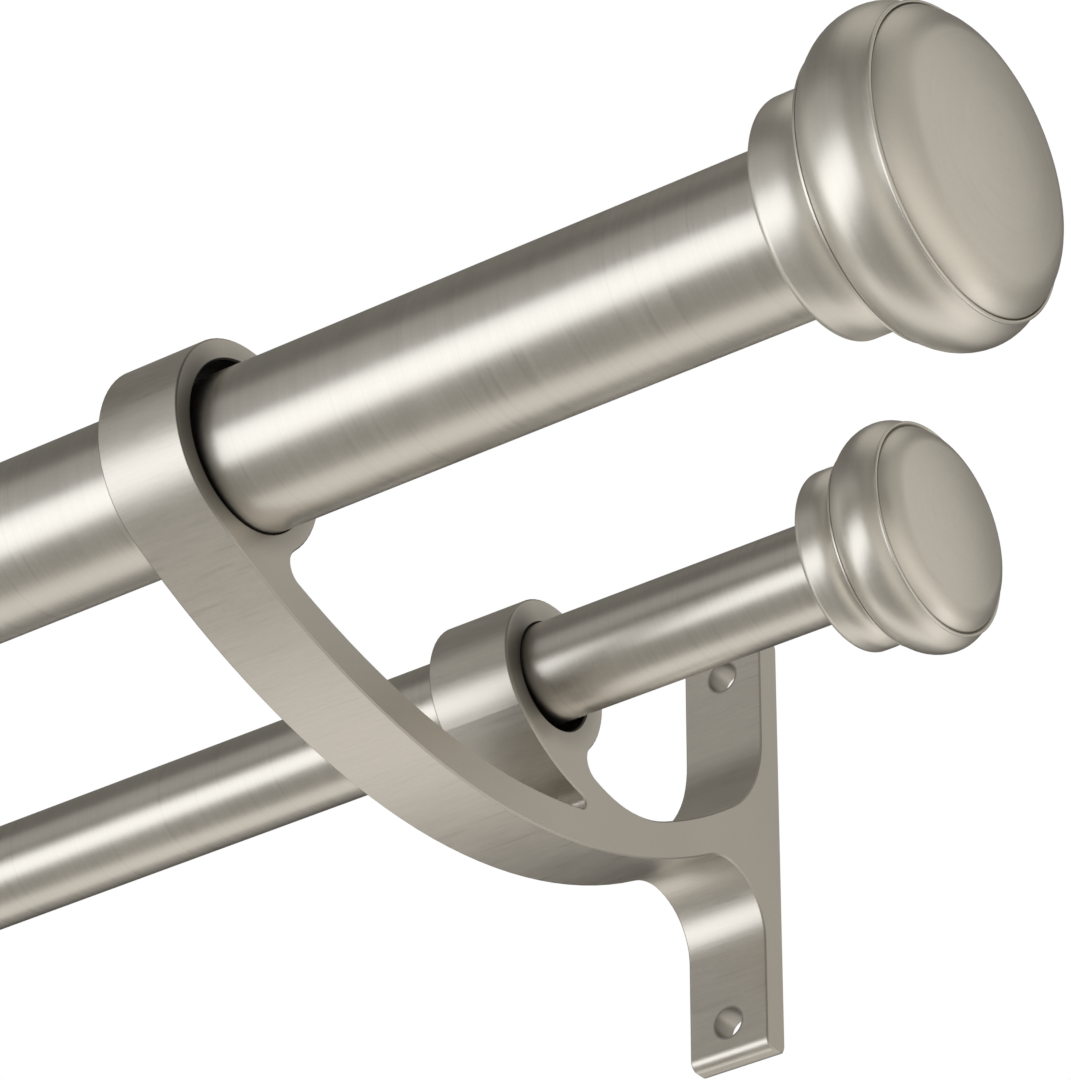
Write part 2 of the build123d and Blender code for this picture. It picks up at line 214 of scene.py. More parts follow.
# The room's own light: where each part of it starts or ends along x, y or z, and how bright it is
ROOM_COLOUR = (1.0, 0.95, 0.85, 1)
ROOM_LEVEL = 0.17
FLOOR_END = (-0.8, 0.5)
FLOOR_LEVEL = 0.18
TOP_START = (0.86, 0.99)
TOP_LEVEL = 0.45
RIGHT_START = (0.05, 0.75)
RIGHT_LEVEL = 0.3
RIGHT_FLOOR_LEVEL = 0.34
LEFT_START = (0.7, 0.98)
LEFT_LEVEL = 0.3
DIM_TO_THE_WALL = (0.45, 0.75)
DIM_TO_THE_LEFT = (0.1, 0.4)
DIM_FROM = (-0.25, 0.1)
DIM_UP_TO = (0.6, 0.8)
DIM_DROP = 0.75


class Signal:
    """A number or vector in a node tree, with the usual arithmetic."""

    def __init__(self, graph, socket):
        self.graph = graph
        self.socket = socket

    def _math(self, operation, *values):
        return self.graph.node("ShaderNodeMath", {"operation": operation}, dict(enumerate(values)))

    def __add__(self, other):
        return self._math("ADD", self, other)

    __radd__ = __add__

    def __mul__(self, other):
        return self._math("MULTIPLY", self, other)

    __rmul__ = __mul__

    def __sub__(self, other):
        return self._math("SUBTRACT", self, other)

    def __rsub__(self, other):
        return self._math("SUBTRACT", other, self)

    def __neg__(self):
        return 0.0 - self

    def __truediv__(self, other):
        return self._math("DIVIDE", self, other)

    def size(self):
        """The number without its sign."""
        return self._math("ABSOLUTE", self)

    def size_with(self, other):
        """Length of the vector with this part and another one at right angles to it."""
        return self._math("SQRT", self * self + other * other)

    def sine(self):
        return self._math("SINE", self)

    def cosine(self):
        return self._math("COSINE", self)

    def whole(self):
        """The number rounded down."""
        return self._math("FLOOR", self)

    def remainder(self, other):
        """What is left of the number after division."""
        return self._math("MODULO", self, other)

    def least(self, other):
        return self._math("MINIMUM", self, other)

    def zigzag(self, half_period):
        """Rises from 0 to the half period and falls back, over and over."""
        return self._math("PINGPONG", self, half_period)

    def angle_from(self, other):
        """Angle of the point (other, self) about the origin."""
        return self._math("ARCTAN2", self, other)

    def rise(self, low, high):
        """0 below low, 1 above high and a smooth step between them."""
        return self.graph.node(
            "ShaderNodeMapRange",
            {"interpolation_type": "SMOOTHSTEP"},
            {"Value": self, "From Min": low, "From Max": high},
        )

    def fall(self, low, high):
        """1 below low, 0 above high and a smooth step between them."""
        return 1.0 - self.rise(low, high)


class Graph:
    """Adds nodes to a node tree and links them."""

    def __init__(self, tree):
        self.nodes = tree.nodes
        self.links = tree.links

    def node(self, kind, settings, values, output=0):
        """Adds a node, with its settings first and then the values or links of its sockets."""
        made = self.nodes.new(kind)
        for key, value in settings.items():
            setattr(made, key, value)
        for key, value in values.items():
            self.feed(made.inputs[key], value)
        return Signal(self, made.outputs[output])

    def feed(self, socket, value):
        """Links a signal to a socket, or sets the socket to a constant."""
        if isinstance(value, Signal):
            self.links.new(value.socket, socket)
        else:
            socket.default_value = value

    def split(self, vector):
        """The three parts of a vector."""
        made = self.nodes.new("ShaderNodeSeparateXYZ")
        self.feed(made.inputs[0], vector)
        return [Signal(self, output) for output in made.outputs]

    def vector(self, x, y, z):
        return self.node("ShaderNodeCombineXYZ", {}, {"X": x, "Y": y, "Z": z})


class Finish(Graph):
    """A material that is being built from nodes, on the place of a point in its object."""

    def __init__(self, name):
        self.material = bpy.data.materials.new(name)
        self.material.use_nodes = True
        super().__init__(self.material.node_tree)
        self.shader = self.nodes["Principled BSDF"]
        self.place = self.node("ShaderNodeTexCoord", {}, {}, "Object")
        self.x, self.y, self.z = self.split(self.place)

    def grain(self, vector, scale, detail=3.0, roughness=0.55):
        """Noise from 0 to 1, mostly near the middle."""
        return self.node(
            "ShaderNodeTexNoise",
            {"noise_dimensions": "3D"},
            {"Vector": vector, "Scale": scale, "Detail": detail, "Roughness": roughness},
        )

    def mix(self, share, first, second):
        """Colour between two others, through the colour sockets of a Mix node."""
        return self.node(
            "ShaderNodeMix",
            {"data_type": "RGBA", "clamp_factor": True},
            {0: share, 6: first, 7: second},
            2,
        )

    def bump(self, height, distance, strength):
        return self.node(
            "ShaderNodeBump", {}, {"Height": height, "Distance": distance, "Strength": strength}
        )

    def set(self, **values):
        """Sets the shader's sockets, whose names are written with an underscore for a space."""
        for key, value in values.items():
            self.feed(self.shader.inputs[key.replace("_", " ")], value)

    def from_line(self, y, z):
        """Distance from the line along X through this y and z."""
        return (self.y - y).size_with(self.z - z)

    def from_brackets(self):
        """Distance along X beyond the nearest bracket's side faces, negative between them."""
        return (self.x.size() - BRACKET_AT).size() - BRACKET_HALF_WIDTH


def shade(colour, tone):
    """The colour made lighter or darker, with full alpha."""
    return (colour[0] * tone, colour[1] * tone, colour[2] * tone, 1.0)


def brushed_nickel(name, colour, roughness, contrast, marks_of, plain_of=None, painted_shade_of=None):
    """Satin nickel with brush marks, plain and darker on some faces, with painted shade in corners,
    joints and grooves.
    """
    finish = Finish(name)
    marks = marks_of(finish)
    fine = finish.grain(marks, FINE_MARKS, detail=2.0, roughness=0.6) - 0.5
    broad = finish.grain(marks, BROAD_MARKS, detail=1.0) - 0.5
    scratch = finish.grain(marks, SCRATCHES, detail=0.0).rise(*SCRATCH_RANGE)
    cloud = finish.grain(finish.place, CLOUDS, detail=2.0) - 0.5
    speck = finish.grain(finish.place, SPECKS, detail=2.0) - 0.5
    stroke = fine * FINE_STROKE + broad * BROAD_STROKE - scratch * SCRATCH_STROKE
    tone = cloud * CLOUD_TONE + speck * SPECK_TONE + 0.5
    matt = cloud * CLOUD_MATT + speck * SPECK_MATT + roughness
    if plain_of:
        plain = plain_of(finish)
        stroke = stroke * (1.0 - plain)
        tone = tone - plain * PLAIN_DROP
    dark, light = NICKEL_TONES
    metal = finish.mix(tone + stroke * contrast, shade(colour, dark), shade(colour, light))
    # Painted shade: the metal is mixed towards a dark tone where the mask says, in corners, joints
    # and grooves
    if painted_shade_of:
        metal = finish.mix(painted_shade_of(finish), metal, shade(colour, PAINTED_SHADE_TONE))
    relief = stroke * contrast + speck * SPECK_RELIEF
    finish.set(
        Base_Color=metal,
        Metallic=1.0,
        Roughness=matt + stroke * (contrast * STROKE_MATT),
        Normal=finish.bump(relief, NICKEL_RELIEF, NICKEL_RELIEF_STRENGTH),
    )
    return finish.material


def speckled(name, colour, tones, specks, detail, clouds, roughness, relief, metallic=0.0):
    """A plain matt finish with fine specks, and clouds that make its colour a little uneven."""
    finish = Finish(name)
    speck = finish.grain(finish.place, specks, detail)
    cloud = finish.grain(finish.place, clouds)
    dark, light = tones
    finish.set(
        Base_Color=finish.mix(cloud, shade(colour, dark), shade(colour, light)),
        Metallic=metallic,
        Roughness=speck * FITTING_SPECK_MATT + roughness,
        Normal=finish.bump(speck, relief, FITTING_RELIEF_STRENGTH),
    )
    return finish.material


def around_the_pole(pitch, length):
    """Brush marks that run round the X axis."""
    return lambda f: f.vector(f.x / pitch, f.y / length, f.z / length)


def across_the_band(pitch, length):
    """Brush marks that run along X."""
    return lambda f: f.vector(f.x / length, f.y / pitch, f.z / pitch)


def round_the_finial(axis, pitch):
    """Brush marks that run round an axis along X, on the flat faces too."""

    def marks(f):
        radius = f.from_line(axis.y, axis.z) + TURNING_CENTRE
        across = (f.y - axis.y) / radius * MARKS_ROUND
        up = (f.z - axis.z) / radius * MARKS_ROUND
        return f.vector((f.x + radius) / pitch, across, up)

    return marks


def on_the_sides(f):
    """1 on the faces of a bracket that look along X and 0 on the band between them."""
    return f.from_brackets().rise(*SIDE_START)


def in_the_corners(f):
    """Painted shade in a bracket's screw holes and in and beside its rings, and a darker line on
    its thin chamfers.
    """
    outward = f.from_brackets()
    chamfers = outward.rise(*CHAMFER_START) * outward.fall(*CHAMFER_END)
    from_hole = (f.x.size() - BRACKET_AT).size_with(f.z.size() - SCREW_HOLE_Z) - SCREW_HOLE_RADIUS
    holes = from_hole.fall(*SCREW_HOLE_END) * f.y.rise(*WALL_PLATE_START)
    painted_shade = chamfers * CHAMFER_DARKENING + holes * SCREW_HOLE_SHADE
    for (y, z), bore in RINGS:
        distance = f.from_line(y, z)
        beyond = distance - bore
        facing = ((f.y - y) * SHELTERED_SIDE[0] + (f.z - z) * SHELTERED_SIDE[1]) / distance
        shelter = facing.rise(*SHELTER_SPREAD) * beyond.fall(*SHELTER_END) * on_the_sides(f)
        painted_shade = painted_shade + beyond.fall(*BORE_END) * BORE_SHADE
        painted_shade = painted_shade + beyond.fall(*RING_EDGE_END) * RING_EDGE_SHADE + shelter * SHELTER_SHADE
    return painted_shade


def at_the_joints(mouth):
    """Painted shade on an outer tube, beside the brackets and in the mouth of its own finial."""

    def painted_shade(f):
        beside = f.from_brackets().fall(*BRACKET_JOINT_END)
        inside = (f.x - mouth).rise(*MOUTH_START)
        return beside * BRACKET_JOINT_SHADE + inside * MOUTH_SHADE

    return painted_shade


def in_the_groove(axis, mouth, size):
    """Painted shade in the groove round a finial's face."""
    groove_middle = (size.groove_radius + size.face_radius) / 2

    def painted_shade(f):
        aside = (f.from_line(axis.y, axis.z) - groove_middle).size()
        inward = size.groove_at + mouth - f.x.size()
        depth = inward.rise(*GROOVE_START) * inward.fall(*GROOVE_END)
        return aside.fall(*GROOVE_SIDES) * depth * GROOVE_SHADE

    return painted_shade


def assign(node, material):
    """Gives a CAD node its finish."""
    slots = frame["nodes"][node].data.materials
    slots.clear()
    slots.append(material)


class NickelSettings(bpy.types.PropertyGroup):
    """Colours, roughness and brush marks of the satin nickel"""

    bracket_colour: FloatVectorProperty(
        name="Bracket", description="Colour of the brackets",
        subtype="COLOR", size=3, min=0, max=1, default=(0.68, 0.655, 0.61),
    )
    pole_colour: FloatVectorProperty(
        name="Poles", description="Colour of the tubes",
        subtype="COLOR", size=3, min=0, max=1, default=(0.66, 0.64, 0.60),
    )
    finial_colour: FloatVectorProperty(
        name="Finials", description="Colour of the finials",
        subtype="COLOR", size=3, min=0, max=1, default=(0.72, 0.70, 0.655),
    )
    bracket_roughness: FloatProperty(
        name="Bracket roughness", description="How matt the brackets are",
        subtype="FACTOR", min=0, max=1, default=0.39,
    )
    pole_roughness: FloatProperty(
        name="Pole roughness", description="How matt the tubes are",
        subtype="FACTOR", min=0, max=1, default=0.33,
    )
    finial_roughness: FloatProperty(
        name="Finial roughness", description="How matt the finials are",
        subtype="FACTOR", min=0, max=1, default=0.38,
    )
    brush_contrast: FloatProperty(
        name="Brush contrast", description="How strongly the brush marks show",
        subtype="FACTOR", min=0, max=1, default=0.4,
    )
    brush_pitch: FloatProperty(
        name="Brush pitch", description="Distance between brush marks",
        unit="LENGTH", min=0.0001, max=0.01, precision=5, default=0.0005,
    )
    brush_length: FloatProperty(
        name="Brush length", description="Length of a brush mark on a tube",
        unit="LENGTH", min=0.001, max=0.2, default=0.014,
    )


class FinialSettings(bpy.types.PropertyGroup):
    """How finely the finials are turned"""

    facets: IntProperty(
        name="Facets", description="Facets round a finial", min=24, max=256, default=144,
    )
    sharp_angle: FloatProperty(
        name="Sharp angle", description="Edges that bend more than this stay sharp",
        subtype="ANGLE", default=math.radians(32),
    )


class FittingSettings(bpy.types.PropertyGroup):
    """Colours of the small pieces"""

    nylon_colour: FloatVectorProperty(
        name="Nylon", description="Colour of the end plugs and slide bushes",
        subtype="COLOR", size=3, min=0, max=1, default=(0.74, 0.73, 0.68),
    )
    zinc_colour: FloatVectorProperty(
        name="Zinc", description="Colour of the studs and grub screws",
        subtype="COLOR", size=3, min=0, max=1, default=(0.52, 0.52, 0.51),
    )


class GrubScrewSettings(bpy.types.PropertyGroup):
    """Thread, point and socket of the grub screws"""

    thread_pitch: FloatProperty(
        name="Thread pitch", description="Distance between two threads",
        unit="LENGTH", min=0.0003, max=0.002, precision=5, default=0.0007,
    )
    thread_depth: FloatProperty(
        name="Thread depth", description="Depth of the thread",
        unit="LENGTH", min=0, max=0.001, precision=5, default=0.0004,
    )
    point: FloatProperty(
        name="Point", description="Width of the chamfer at both ends",
        unit="LENGTH", min=0, max=0.001, precision=5, default=0.0005,
    )
    socket_across: FloatProperty(
        name="Socket", description="Hexagon socket across its flats",
        unit="LENGTH", min=0.001, max=0.003, precision=5, default=0.002,
    )
    socket_depth: FloatProperty(
        name="Socket depth", description="Depth of the hexagon socket",
        unit="LENGTH", min=0.001, max=0.004, precision=5, default=0.0022,
    )
    facets: IntProperty(
        name="Facets", description="Facets round a screw", min=12, max=64, default=36,
    )
    steps: IntProperty(
        name="Steps", description="Rows of facets to a thread", min=4, max=16, default=8,
    )
    seed: IntProperty(
        name="Seed", description="Seed for how far each screw is turned", default=3,
    )
    sharp_angle: FloatProperty(
        name="Sharp angle", description="Edges that bend more than this stay sharp",
        subtype="ANGLE", default=math.radians(35),
    )


class StudioSettings(bpy.types.PropertyGroup):
    """Floor and lights"""

    floor_level: FloatProperty(
        name="Floor", description="Height of the floor from the middle of the screw holes",
        unit="LENGTH", default=-4.0,
    )
    floor_glow: FloatProperty(
        name="Floor glow", description="Light that keeps the floor pale under the dim room",
        min=0, max=2, default=0.4,
    )
    key_power: FloatProperty(
        name="Key light", description="Power of the front soft box", unit="POWER", default=46.0,
    )
    fill_power: FloatProperty(
        name="Fill light", description="Power of the dim soft box above it",
        unit="POWER", default=7.0,
    )
    low_power: FloatProperty(
        name="Low light", description="Power of the low soft box on the wall side",
        unit="POWER", default=22.0,
    )
    wall_power: FloatProperty(
        name="Wall light", description="Power of the small soft box on the wall side",
        unit="POWER", default=2.5,
    )
    side_power: FloatProperty(
        name="Side light", description="Power of the right-hand soft box",
        unit="POWER", default=4.0,
    )
    room: FloatProperty(
        name="Room", description="Strength of the room's own light", min=0, max=5, default=1.0,
    )


class CURTAINPOLE_OT_brackets(bpy.types.Operator):
    """Gives both wall brackets their satin nickel, brushed along X and plain on the sides"""

    bl_idname = "curtain_pole.brackets"
    bl_label = "Finish the brackets"

    def execute(self, context):
        settings = context.scene.curtain_pole_nickel
        mark_length = settings.brush_length * BRACKET_MARK_LENGTH
        material = brushed_nickel(
            "bracket_nickel",
            settings.bracket_colour,
            settings.bracket_roughness,
            settings.brush_contrast * BRACKET_CONTRAST,
            marks_of=across_the_band(settings.brush_pitch, mark_length),
            plain_of=on_the_sides,
            # painted shade in the screw holes and rings, and a darker line on the chamfers
            painted_shade_of=in_the_corners,
        )
        for hand in HANDS:
            assign(f"{hand}_bracket", material)
        return {"FINISHED"}


class CURTAINPOLE_OT_poles(bpy.types.Operator):
    """Gives the four tubes their satin nickel, brushed round the tube"""

    bl_idname = "curtain_pole.poles"
    bl_label = "Finish the poles"

    def execute(self, context):
        settings = context.scene.curtain_pole_nickel
        look = (
            settings.pole_colour,
            settings.pole_roughness,
            settings.brush_contrast,
            around_the_pole(settings.brush_pitch, settings.brush_length),
        )
        inner = brushed_nickel("inner_tube_nickel", *look)
        for pole, mouth in MOUTH_AT.items():
            # the outer tubes get painted shade beside the brackets and in their finials' mouths
            outer = brushed_nickel(f"{pole}_tube_nickel", *look, painted_shade_of=at_the_joints(mouth))
            assign(f"{pole}_outer_tube", outer)
            assign(f"{pole}_inner_tube", inner)
        return {"FINISHED"}


def new_tree(name, **inputs):
    """An empty node tree with its graph, what its named inputs give and their identifiers."""
    tree = bpy.data.node_groups.new(name, "GeometryNodeTree")
    sockets = {}
    for title, kind in inputs.items():
        title = title.replace("_", " ")
        made = tree.interface.new_socket(title, in_out="INPUT", socket_type=f"NodeSocket{kind}")
        sockets[title] = made.identifier
    tree.interface.new_socket("Geometry", in_out="OUTPUT", socket_type="NodeSocketGeometry")
    graph = Graph(tree)
    source = graph.nodes.new("NodeGroupInput")
    return tree, graph, {title: Signal(graph, source.outputs[title]) for title in sockets}, sockets


def finish_tree(graph, geometry, material):
    """Ends a node tree in a real mesh with its material."""
    solid = graph.node("GeometryNodeRealizeInstances", {}, {"Geometry": geometry})
    finished = graph.node("GeometryNodeSetMaterial", {}, {"Geometry": solid, "Material": material})
    graph.links.new(finished.socket, graph.nodes.new("NodeGroupOutput").inputs[0])


def made_by_nodes(context, name, source, tree, sockets, values, sharp_angle):
    """Object with the plain mesh that a node tree makes of a source mesh."""
    holder = bpy.data.objects.new(f"{name}_source", source)
    context.scene.collection.objects.link(holder)
    modifier = holder.modifiers.new(name, "NODES")
    modifier.node_group = tree
    for title, value in values.items():
        modifier[sockets[title]] = value
    evaluated = holder.evaluated_get(context.evaluated_depsgraph_get())
    mesh = bpy.data.meshes.new_from_object(evaluated)
    mesh.name = name
    holder.modifiers.remove(modifier)
    bpy.data.objects.remove(holder)
    shell = bmesh.new()
    shell.from_mesh(mesh)
    bmesh.ops.recalc_face_normals(shell, faces=shell.faces)
    shell.to_mesh(mesh)
    shell.free()
    mesh.shade_smooth()
    mesh.set_sharp_from_angle(angle=sharp_angle)
    piece = bpy.data.objects.new(name, mesh)
    context.scene.collection.objects.link(piece)
    return piece


class Profile:
    """Outline of a turned piece, as points (distance from its mouth, radius)."""

    def __init__(self, x, radius):
        self.points = [Vector((x, radius))]

    def line(self, x, radius):
        self.points.append(Vector((x, radius)))

    def arc(self, x, radius, start=None, end=None):
        """Arc with a given direction at its start or its end, in degrees from +X outwards.

        Returns its direction at the end.
        """
        here = self.points[-1]
        reach = Vector((x, radius)) - here
        chord = math.atan2(reach.y, reach.x)
        begin = 2 * chord - math.radians(end) if start is None else math.radians(start)
        half_turn = chord - begin
        steps = max(2, math.ceil(abs(half_turn) * 2 / math.radians(ARC_STEP)))
        for step in range(1, steps + 1):
            turned_by = half_turn * step / steps
            heading = begin + turned_by
            run = reach.length * math.sin(turned_by) / math.sin(half_turn)
            self.points.append(here + run * Vector((math.cos(heading), math.sin(heading))))
        return math.degrees(begin + 2 * half_turn)


def finial_profile(size, length):
    """Outline of a finial, from its blind socket round the outside to the middle of its face."""
    hole_end = SOCKET_DEPTH + STUD_HOLE_DEPTH
    outline = Profile(hole_end, 0.0)
    outline.line(hole_end, STUD_HOLE_RADIUS)
    outline.line(SOCKET_DEPTH, STUD_HOLE_RADIUS)
    outline.line(SOCKET_DEPTH, size.socket_radius)
    outline.line(MOUTH_BREAK, size.socket_radius)
    outline.line(0.0, size.socket_radius + MOUTH_BREAK)

    # Collar with a round front edge, drawn in to the waist
    outline.line(0.0, size.collar_radius - size.collar_round)
    outline.arc(size.collar_round, size.collar_radius, start=90)
    outline.line(size.collar_length, size.collar_radius)
    outline.arc(size.waist_at, size.waist_radius, start=0)

    # Sharp lip, then the head and the cove behind the bead
    outline.line(size.lip_at, size.lip_radius)
    outline.line(size.lip_at + size.lip_width, size.lip_radius)
    outline.line(size.lip_at + size.lip_width, size.lip_radius - LIP_STEP)
    outline.arc(size.head_at, size.head_radius, end=0)
    heading = outline.arc(size.shoulder_at, size.shoulder_radius, start=0)
    outline.arc(size.bead_at, size.bead_radius, start=heading)
    outline.arc(size.groove_at, size.groove_radius, start=BEAD_RISE)
    outline.line(size.groove_at - GROOVE_DEPTH, (size.groove_radius + size.face_radius) / 2)
    outline.line(size.face_at, size.face_radius)

    # The face's pillow edge has the radius that lets it run smoothly into the shallow dome
    dome_start = math.radians(90 - FACE_TILT)
    pillow_start = math.radians(PILLOW_TILT)
    dome_slope = math.tan(math.radians(FACE_TILT / 2))
    forward = math.sin(dome_start) - math.sin(pillow_start)
    inward = math.cos(pillow_start) - math.cos(dome_start)
    dome_room = length - size.face_at - dome_slope * size.face_radius
    pillow = dome_room / (forward - dome_slope * inward)
    pillow_end = (size.face_at + pillow * forward, size.face_radius - pillow * inward)
    outline.arc(*pillow_end, start=-PILLOW_TILT)
    outline.arc(length, 0.0, end=-90)
    return outline.points


def turning_tree():
    """Node tree that turns the points of an outline into a closed round piece along X."""
    tree, graph, given, sockets = new_tree(
        "turned_piece",
        Outline="Geometry", Points="Int", Facets="Int", Axis="Vector", Mouth="Float", Way="Float",
        Material="Material",
    )
    points, facets = given["Points"], given["Facets"]

    # Grid with a row of points along X for each facet, which is then wrapped round the axis
    grid = graph.node(
        "GeometryNodeMeshGrid", {}, {"Vertices X": facets + 1.0, "Vertices Y": points}
    )
    index = graph.node("GeometryNodeInputIndex", {}, {})
    on_outline = graph.node(
        "GeometryNodeSampleIndex",
        {"data_type": "FLOAT_VECTOR", "domain": "POINT"},
        {
            "Geometry": given["Outline"],
            "Value": graph.node("GeometryNodeInputPosition", {}, {}),
            "Index": index.remainder(points),
        },
    )
    x, radius = graph.split(on_outline)[:2]
    angle = (index / points).whole() / facets * math.tau
    along = given["Mouth"] + x * given["Way"]
    turned = graph.vector(along, radius * angle.cosine(), radius * angle.sine())
    placed = graph.node("ShaderNodeVectorMath", {"operation": "ADD"}, {0: turned, 1: given["Axis"]})
    wrapped = graph.node(
        "GeometryNodeSetPosition", {}, {"Geometry": grid, "Position": placed}
    )
    closed = graph.node(
        "GeometryNodeMergeByDistance", {}, {"Geometry": wrapped, "Distance": MERGE_DISTANCE}
    )
    finish_tree(graph, closed, given["Material"])
    return tree, sockets


class CURTAINPOLE_OT_finials(bpy.types.Operator):
    """Turns the four finials from their outlines and gives them their satin nickel"""

    bl_idname = "curtain_pole.finials"
    bl_label = "Turn the finials"

    def execute(self, context):
        nickel = context.scene.curtain_pole_nickel
        settings = context.scene.curtain_pole_finials
        tree, sockets = turning_tree()
        for pole, axis in POLE_AXIS.items():
            size = FINIAL_SIZES[pole]
            mouth, end = (corner[0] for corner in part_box(f"{pole}_right_finial"))
            outline = finial_profile(size, end - mouth)
            material = brushed_nickel(
                f"{pole}_finial_nickel",
                nickel.finial_colour,
                nickel.finial_roughness,
                nickel.brush_contrast * FINIAL_CONTRAST,
                marks_of=round_the_finial(axis, nickel.brush_pitch),
                # painted shade in the groove round the face
                painted_shade_of=in_the_groove(axis, mouth, size),
            )
            for hand, way in HANDS.items():
                node = f"{pole}_{hand}_finial"
                source = bpy.data.meshes.new(f"{node}_outline")
                source.from_pydata([(x, radius, 0) for x, radius in outline], [], [])
                values = {
                    "Points": len(outline),
                    "Facets": settings.facets,
                    "Axis": (0.0, axis.y, axis.z),
                    "Mouth": mouth * way,
                    "Way": float(way),
                    "Material": material,
                }
                piece = made_by_nodes(
                    context, f"turned_{node}", source, tree, sockets, values, settings.sharp_angle
                )
                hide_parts(node)
                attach(piece, "wall_set" if hand == "right" else f"{pole}_extension")
        return {"FINISHED"}


class CURTAINPOLE_OT_fittings(bpy.types.Operator):
    """Gives the end plugs, slide bushes, studs and grub screws their finishes"""

    bl_idname = "curtain_pole.fittings"
    bl_label = "Finish the small pieces"

    def execute(self, context):
        settings = context.scene.curtain_pole_fittings
        nylon = speckled(
            "moulded_nylon", settings.nylon_colour, tones=(0.92, 1.05),
            specks=900.0, detail=4.0, clouds=120.0, roughness=0.42, relief=0.00003,
        )
        zinc = speckled(
            "zinc_plate", settings.zinc_colour, tones=(0.85, 1.15), metallic=1.0,
            specks=1400.0, detail=3.0, clouds=300.0, roughness=0.28, relief=0.00001,
        )
        assign("grub_screws", zinc)
        for pole in POLE_AXIS:
            assign(f"{pole}_slide_bush", nylon)
            for hand in HANDS:
                assign(f"{pole}_{hand}_end_plug", nylon)
                assign(f"{pole}_{hand}_finial_stud", zinc)
        return {"FINISHED"}


def grub_screw_seats():
    """Middle, outward direction, length and radius of each grub screw, from its solid."""
    points = [vertex.co for vertex in frame["nodes"]["grub_screws"].data.vertices]
    seats = []
    for pole, axis in POLE_AXIS.items():
        other = POLE_AXIS["rear" if pole == "front" else "front"]
        for side in (-1, 1):
            own = [
                point for point in points
                if point.x * side > 0 and abs(point.y - axis.y) < abs(point.y - other.y)
            ]
            low = Vector([min(point[i] for point in own) for i in range(3)])
            high = Vector([max(point[i] for point in own) for i in range(3)])
            centre = (low + high) / 2
            outward = Vector((0, centre.y - axis.y, centre.z - axis.z)).normalized()
            reach = [(point - centre).dot(outward) for point in own]
            seats.append((centre, outward, max(reach) - min(reach), (high.x - low.x) / 2))
    return seats


def grub_screw_tree():
    """Node tree that puts a threaded socket screw on each point, along its outward vector."""
    tree, graph, given, sockets = new_tree(
        "grub_screws",
        Seats="Geometry", Radius="Float", Length="Float", Pitch="Float", Depth="Float",
        Point="Float", Across="Float", Socket_Depth="Float", Facets="Int", Steps="Int",
        Seed="Int", Material="Material",
    )
    radius, length, pitch = given["Radius"], given["Length"], given["Pitch"]

    # Cylinder whose rows of points move in to the thread, and at both ends to the chamfer
    shank = graph.node(
        "GeometryNodeMeshCylinder",
        {"fill_type": "NGON"},
        {
            "Vertices": given["Facets"],
            "Side Segments": length / pitch * given["Steps"],
            "Radius": radius,
            "Depth": length,
        },
    )
    x, y, z = graph.split(graph.node("GeometryNodeInputPosition", {}, {}))
    turns = z / pitch - y.angle_from(x) / math.tau
    thread = radius - turns.zigzag(0.5) * given["Depth"] * 2.0
    chamfer = length / 2.0 - z.size() + radius - given["Point"]
    shrink = thread.least(chamfer) / radius
    moved_in = graph.vector(x * shrink, y * shrink, z)
    threaded = graph.node(
        "GeometryNodeSetPosition", {}, {"Geometry": shank, "Position": moved_in}
    )

    # Hexagon socket in the outer end
    hexagon = graph.node(
        "GeometryNodeMeshCylinder",
        {"fill_type": "NGON"},
        {
            "Vertices": 6,
            "Radius": given["Across"] / math.sqrt(3),
            "Depth": given["Socket Depth"] * 2.0,
        },
    )
    outer_end = graph.vector(0.0, 0.0, length / 2.0)
    hexagon = graph.node(
        "GeometryNodeTransform", {}, {"Geometry": hexagon, "Translation": outer_end}
    )
    screw = graph.node(
        "GeometryNodeMeshBoolean",
        {"operation": "DIFFERENCE", "solver": "EXACT"},
        {"Mesh 1": threaded, "Mesh 2": hexagon},
    )

    # One screw on each seat, each turned its own way
    outward = graph.node(
        "GeometryNodeInputNamedAttribute", {"data_type": "FLOAT_VECTOR"}, {"Name": "outward"}
    )
    lean = graph.node("FunctionNodeAlignRotationToVector", {"axis": "Z"}, {"Vector": outward})
    spin = graph.node(
        "FunctionNodeRandomValue",
        {"data_type": "FLOAT"},
        {"Max": math.tau, "Seed": given["Seed"]},
        1,
    )
    spin = graph.node("FunctionNodeAxisAngleToRotation", {}, {"Axis": (0, 0, 1), "Angle": spin})
    turned_in = graph.node(
        "FunctionNodeRotateRotation",
        {"rotation_space": "LOCAL"},
        {"Rotation": lean, "Rotate By": spin},
    )
    placed = graph.node(
        "GeometryNodeInstanceOnPoints",
        {},
        {"Points": given["Seats"], "Instance": screw, "Rotation": turned_in},
    )
    finish_tree(graph, placed, given["Material"])
    return tree, sockets


